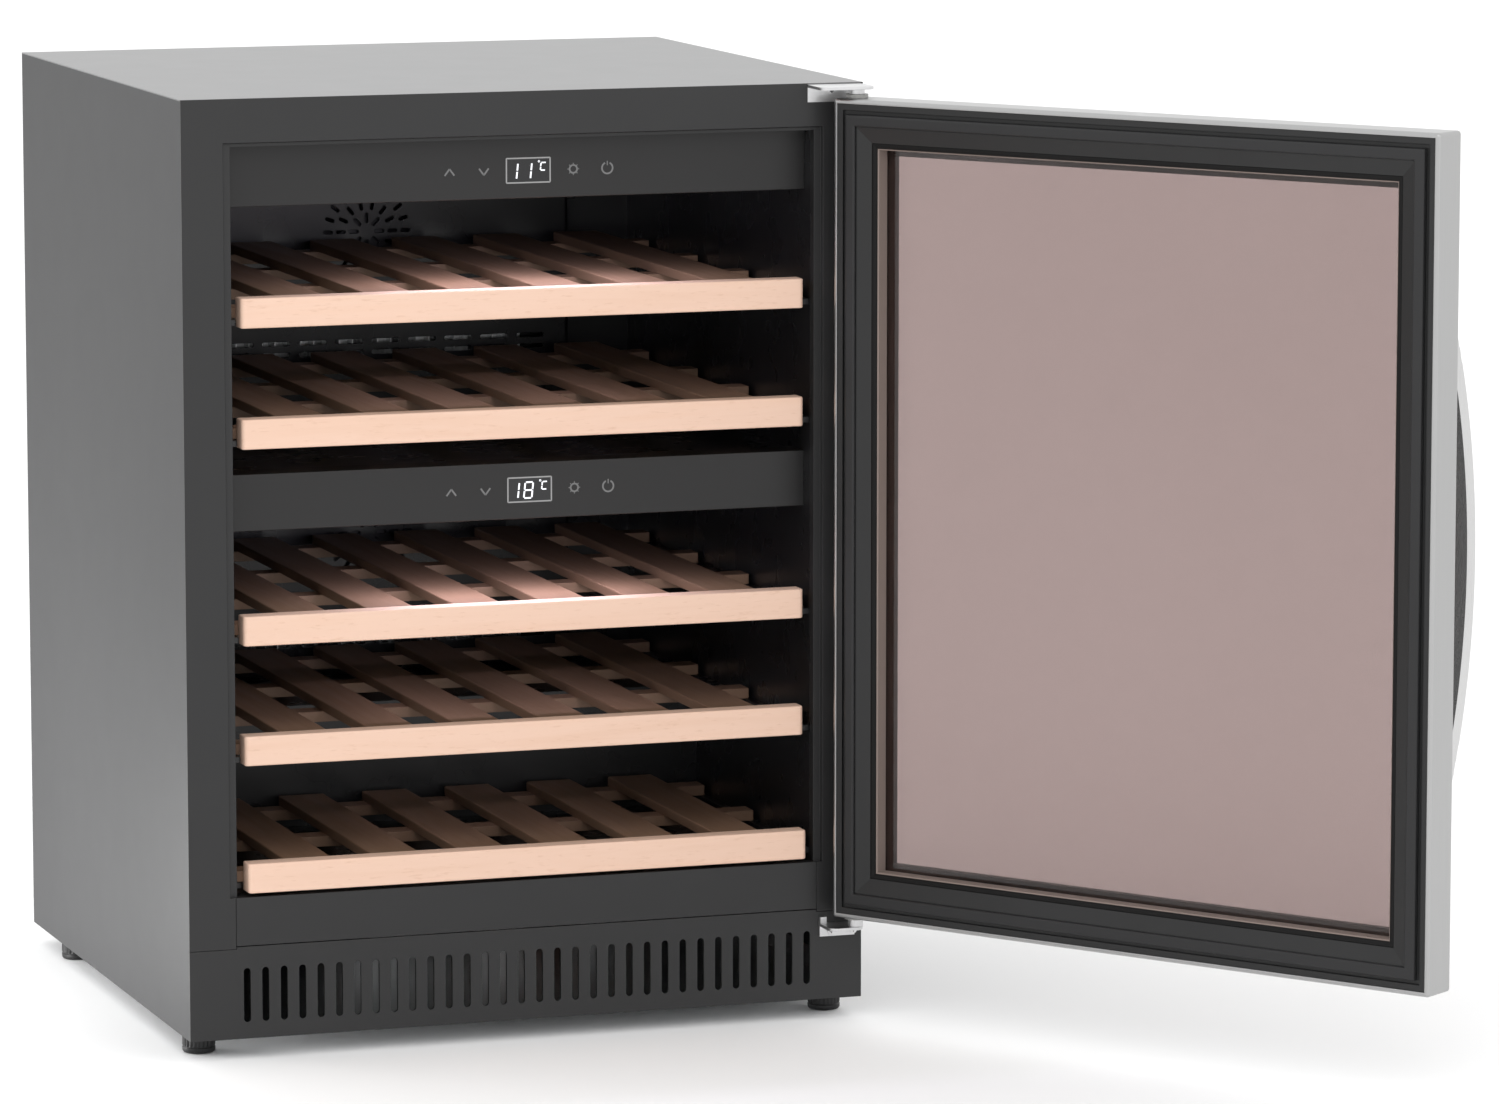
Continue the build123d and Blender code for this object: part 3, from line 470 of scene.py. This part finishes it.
# strokes of a seven-segment digit in a box one unit wide and one unit tall
SEGMENTS = {
    "a": ((0, 1), (1, 1)),
    "b": ((1, 1), (1, 0.5)),
    "c": ((1, 0.5), (1, 0)),
    "d": ((0, 0), (1, 0)),
    "e": ((0, 0), (0, 0.5)),
    "f": ((0, 0.5), (0, 1)),
    "g": ((0, 0.5), (1, 0.5)),
}
GLYPHS = {"1": "bc", "8": "abcdefg", "C": "adef"}
LEAN = math.tan(math.radians(6.0))
SEGMENT_GAP = 0.08
CORNERS = ((-1, -1), (1, -1), (1, 1), (-1, 1))

# printed strokes stand a little proud of the surface that carries them, and reach a little into it
DIGIT_RISE, OUTLINE_RISE, ICON_RISE, SINK = 0.12 * MM, 0.1 * MM, 0.08 * MM, 0.1 * MM
ICON_STROKE = 1.4 * MM
UP_X, DOWN_X, LAMP_X, POWER_X = -59.0 * MM, -29.0 * MM, 49.5 * MM, 79.5 * MM


def box_middle(low, high):
    """The middle of a box as the user faces it, in x and z."""
    return (low.x + high.x) / 2, (low.z + high.z) / 2


def reading(bm, glyphs, left, foot, size, pitch, stroke, y0, y1):
    """Seven-segment glyphs in a row, leaning a little to the right."""
    wide, tall = size
    for k, glyph in enumerate(glyphs):
        for segment in GLYPHS[glyph]:
            a, b = (Vector(p) for p in SEGMENTS[segment])
            a, b = a + (b - a) * SEGMENT_GAP, b - (b - a) * SEGMENT_GAP
            ends = [(left + k * pitch + v.x * wide + v.y * tall * LEAN, foot + v.y * tall) for v in (a, b)]
            bar(bm, ends[0], ends[1], stroke, y0, y1)


def temperature(zone, digits):
    """Builder of a seven-segment reading with a small degree mark at its upper right."""

    def build(bm):
        low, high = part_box(f"{zone}_display")
        cx, cz = box_middle(low, high)
        y0, y1 = low.y - DIGIT_RISE, low.y + SINK
        digit_size, unit_size = (7.0 * MM, 13.4 * MM), (4.4 * MM, 6.4 * MM)
        reading(bm, digits, cx - 17.4 * MM, cz - 7.2 * MM, digit_size, 12.2 * MM, 1.35 * MM, y0, y1)
        reading(bm, "C", cx + 10.6 * MM, cz - 0.2 * MM, unit_size, 0.0, 1.1 * MM, y0, y1)
        ring(bm, (cx + 9.4 * MM, cz + 7.3 * MM), 0.7 * MM, 0.5 * MM, y0, y1, count=20)

    return build


def display_outline(zone):
    """Builder of the thin grey line round a display."""

    def build(bm):
        low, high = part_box(f"{zone}_display")
        cx, cz = box_middle(low, high)
        half_x, half_z = 19.2 * MM, 10.3 * MM
        corners = [(cx + a * half_x, cz + b * half_z) for a, b in CORNERS]
        for k in range(4):
            bar(bm, corners[k], corners[(k + 1) % 4], 1.2 * MM, low.y - OUTLINE_RISE, low.y + SINK)

    return build


def panel_icons(zone):
    """Builder of the up, down, lamp and power marks printed beside the display."""

    def build(bm):
        low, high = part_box(f"{zone}_display")
        cz = box_middle(low, high)[1]
        y1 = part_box(f"{zone}_control_panel")[0].y
        y0 = y1 - ICON_RISE
        for x, sign in ((UP_X, 1), (DOWN_X, -1)):
            tip = (x, cz + sign * 3.0 * MM)
            for side in (-1, 1):
                bar(bm, (x + side * 4.2 * MM, cz - sign * 2.6 * MM), tip, ICON_STROKE, y0, y1)
        ring(bm, (LAMP_X, cz), 3.3 * MM, ICON_STROKE, y0, y1)
        for k in range(8):
            turn = math.radians(45 * k)
            spoke = [(LAMP_X + r * math.cos(turn), cz + r * math.sin(turn)) for r in (3.8 * MM, 5.2 * MM)]
            bar(bm, spoke[0], spoke[1], 0.7 * MM, y0, y1)
        ring(bm, (POWER_X, cz), 4.7 * MM, ICON_STROKE, y0, y1, 115.0, 425.0)
        bar(bm, (POWER_X, cz + 2.2 * MM), (POWER_X, cz + 6.0 * MM), 0.9 * MM, y0, y1)

    return build


for zone, digits in (("upper", "11"), ("lower", "18")):
    piece(f"{zone}_display_digits", temperature(zone, digits), digit_light, "cabinet")
    piece(f"{zone}_display_outline", display_outline(zone), outline_light, "cabinet")
    piece(f"{zone}_panel_icons", panel_icons(zone), icon_light, "cabinet")


def lathe(bm, centre, profile, count, lobes, lobe_depth, lobe_rows):
    """A turned solid about a vertical axis from (radius, height) points, with grip lobes on some rows."""
    rings = []
    for row, (radius, height) in enumerate(profile):
        circle = []
        for k in range(count):
            turn = 2 * math.pi * k / count
            cut = lobe_depth * (0.5 - 0.5 * math.cos(lobes * turn)) if row in lobe_rows else 0.0
            r = radius - cut
            x, y = centre[0] + r * math.cos(turn), centre[1] + r * math.sin(turn)
            circle.append(bm.verts.new((x, y, height)))
        rings.append(circle)
    for lower, upper in zip(rings, rings[1:]):
        for k in range(count):
            n = (k + 1) % count
            bm.faces.new((lower[k], lower[n], upper[n], upper[k]))
    bm.faces.new(list(reversed(rings[0])))
    bm.faces.new(rings[-1])


def levelling_foot(name):
    """Builder of a levelling foot: a rounded pad, a ribbed grip and its stud."""

    def build(bm):
        low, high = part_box(name)
        centre = ((low.x + high.x) / 2, (low.y + high.y) / 2)
        stud_radius = 4.0
        # radius and height in mm, from the floor up
        rows = (
            (11.4, 0.0),
            (12.9, 0.5),
            (13.8, 1.6),
            (14.0, 3.2),
            (14.0, 4.6),
            (13.4, 5.2),
            (13.4, 5.6),
            (13.9, 6.2),
            (13.9, 15.4),
            (13.3, 16.4),
            (12.2, 17.1),
            (stud_radius, 17.1),
            (stud_radius, high.z / MM),
        )
        profile = [(r * MM, z * MM) for r, z in rows]
        lathe(bm, centre, profile, count=96, lobes=24, lobe_depth=0.7 * MM, lobe_rows=(7, 8))

    return build


for name in ("foot_front_left", "foot_front_right", "foot_rear_left", "foot_rear_right"):
    foot = piece(f"{name}_grip", levelling_foot(name), foot_black, name)
    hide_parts(name)


def screw_recess_shade(bm):
    """Painted shade for the cross recesses in the four hinge screws' heads: two crossed dark bars on each
    stand in for the shade inside them.
    """
    top_row = (BASE + 781.2 * MM, -2.0 * MM)
    bottom_row = (BASE + 59.5 * MM, -4.3 * MM)
    half_long, half_short = 1.7 * MM, 0.45 * MM
    for x in (269.0 * MM, 289.0 * MM):
        for z, face in (top_row, bottom_row):
            for dx, dz in ((half_long, half_short), (half_short, half_long)):
                patch = [(x + a * dx, z + b * dz) for a, b in CORNERS]
                plate(bm, patch, face - 0.03 * MM, face + 0.2 * MM)


piece("hinge_screw_recesses", screw_recess_shade, part_black, "cabinet")


def on_open_door(x, y, z):
    """A point given on the shut door, carried round to where the door stands."""
    dx, dy = x - PIVOT[0], y - PIVOT[1]
    cos, sin = math.cos(OPEN), math.sin(OPEN)
    return (PIVOT[0] + dx * cos - dy * sin, PIVOT[1] + dx * sin + dy * cos, z)


def door_ring(bm, profile):
    """A closed ring round the door's glass; profile gives (inset, depth) in mm on the shut door."""
    rings = []
    for inset, y in profile:
        half_x, half_z = (DOOR_WIDTH / 2 - inset) * MM, (DOOR_HEIGHT / 2 - inset) * MM
        corners = [(a * half_x, b * half_z) for a, b in CORNERS]
        rings.append([bm.verts.new(on_open_door(x, y * MM, DOOR_Z + z)) for x, z in corners])
    for here, after in zip(rings, rings[1:] + rings[:1]):
        for k in range(4):
            n = (k + 1) % 4
            bm.faces.new((here[k], here[n], after[n], after[k]))


def glazing_bead(bm):
    """A thin lining round the recess between the door's border and the inner pane."""
    door_ring(bm, ((41.02, -9.4), (41.02, -21.9), (42.2, -21.9), (42.2, -10.2), (41.8, -9.6)))


def border_groove_shadow(bm):
    """Painted shadow: a thin dark ring on the door's border where it turns in to the recess, standing in
    for the shade of that groove.
    """
    # the border slopes between these two (inset, depth) points
    slope_start, slope_end = (24.0, -3.3), (41.0, -9.0)
    slope = (slope_start[1] - slope_end[1]) / (slope_end[0] - slope_start[0])
    outer, crown, inner = 36.4, 40.2, 41.0

    def border(inset):
        """The border's depth at an inset."""
        return slope_start[1] - slope * (inset - slope_start[0])

    lifts = ((outer, 0.03), (crown, 0.3), (inner, 0.03))
    door_ring(bm, [(inset, border(inset) + lift) for inset, lift in lifts])


piece("door_glazing_bead", glazing_bead, bead_brown, "door")
# painted shadow ring on the border round the door's glass recess
piece("door_glazing_lip", border_groove_shadow, groove_shadow_black, "door")

# ---------------------------------------------------------------- floor, light and camera

floor_mesh = bpy.data.meshes.new("floor")
reach, floor_level = 60.0, -0.2 * MM
floor_mesh.from_pydata([(a * reach, b * reach, floor_level) for a, b in CORNERS], [], [(0, 1, 2, 3)])
floor = bpy.data.objects.new("floor", floor_mesh)
scene.collection.objects.link(floor)
floor_white = moulded(
    "floor_white", (0.97, 0.97, 0.97),
    rough=0.75, specular=0.1, grain=60.0, depth=0.0002, vary=0.003, edge=0.0,
)
floor_mesh.materials.append(floor_white)

world = bpy.data.worlds.new("studio")
scene.world = world
world.use_nodes = True
background = world.node_tree.nodes["Background"]
background.inputs["Color"].default_value = (1.0, 1.0, 1.0, 1.0)
background.inputs["Strength"].default_value = 1.22


def soft_light(name, place, target, size, power, colour=(1.0, 1.0, 1.0)):
    """A rectangular area light at a place, aimed at a target."""
    data = bpy.data.lights.new(name, "AREA")
    data.shape = "RECTANGLE"
    data.size, data.size_y = size
    data.energy = power
    data.color = colour
    made = bpy.data.objects.new(name, data)
    scene.collection.objects.link(made)
    made.location = place
    made.rotation_euler = (Vector(target) - Vector(place)).to_track_quat("-Z", "Y").to_euler()


soft_light("key", (-1.6, -4.2, 3.4), (0.0, 0.0, 0.4), (3.0, 2.4), 40.0)
soft_light("fill", (2.6, -3.6, 1.8), (0.2, 0.0, 0.4), (2.4, 2.4), 10.0)
# a small light near the floor, for the glow low on the left side
soft_light("low", (-0.80, 0.40, 0.06), (-0.3, 0.40, 0.0), (0.30, 0.10), 5.0)

# the light strip under each control panel
for zone in ("upper", "lower"):
    panel_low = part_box(f"{zone}_control_panel")[0].z
    place, target = (0.0, 0.052, panel_low - 0.003), (0.0, 0.10, panel_low - 0.3)
    soft_light(f"{zone}_led", place, target, (0.22, 0.012), 0.4, (0.86, 0.80, 1.0))

camera = bpy.data.objects.new("camera", bpy.data.cameras.new("camera"))
scene.collection.objects.link(camera)
scene.camera = camera
camera.data.sensor_width = 36.0
camera.data.lens = 177.6
camera.data.clip_start, camera.data.clip_end = 0.1, 200.0
camera.location = (-1.8223, -5.8846, 1.2968)
camera.rotation_euler = Euler((math.radians(90 - 8.1265), 0.0, math.radians(-18.9355)), "XYZ")
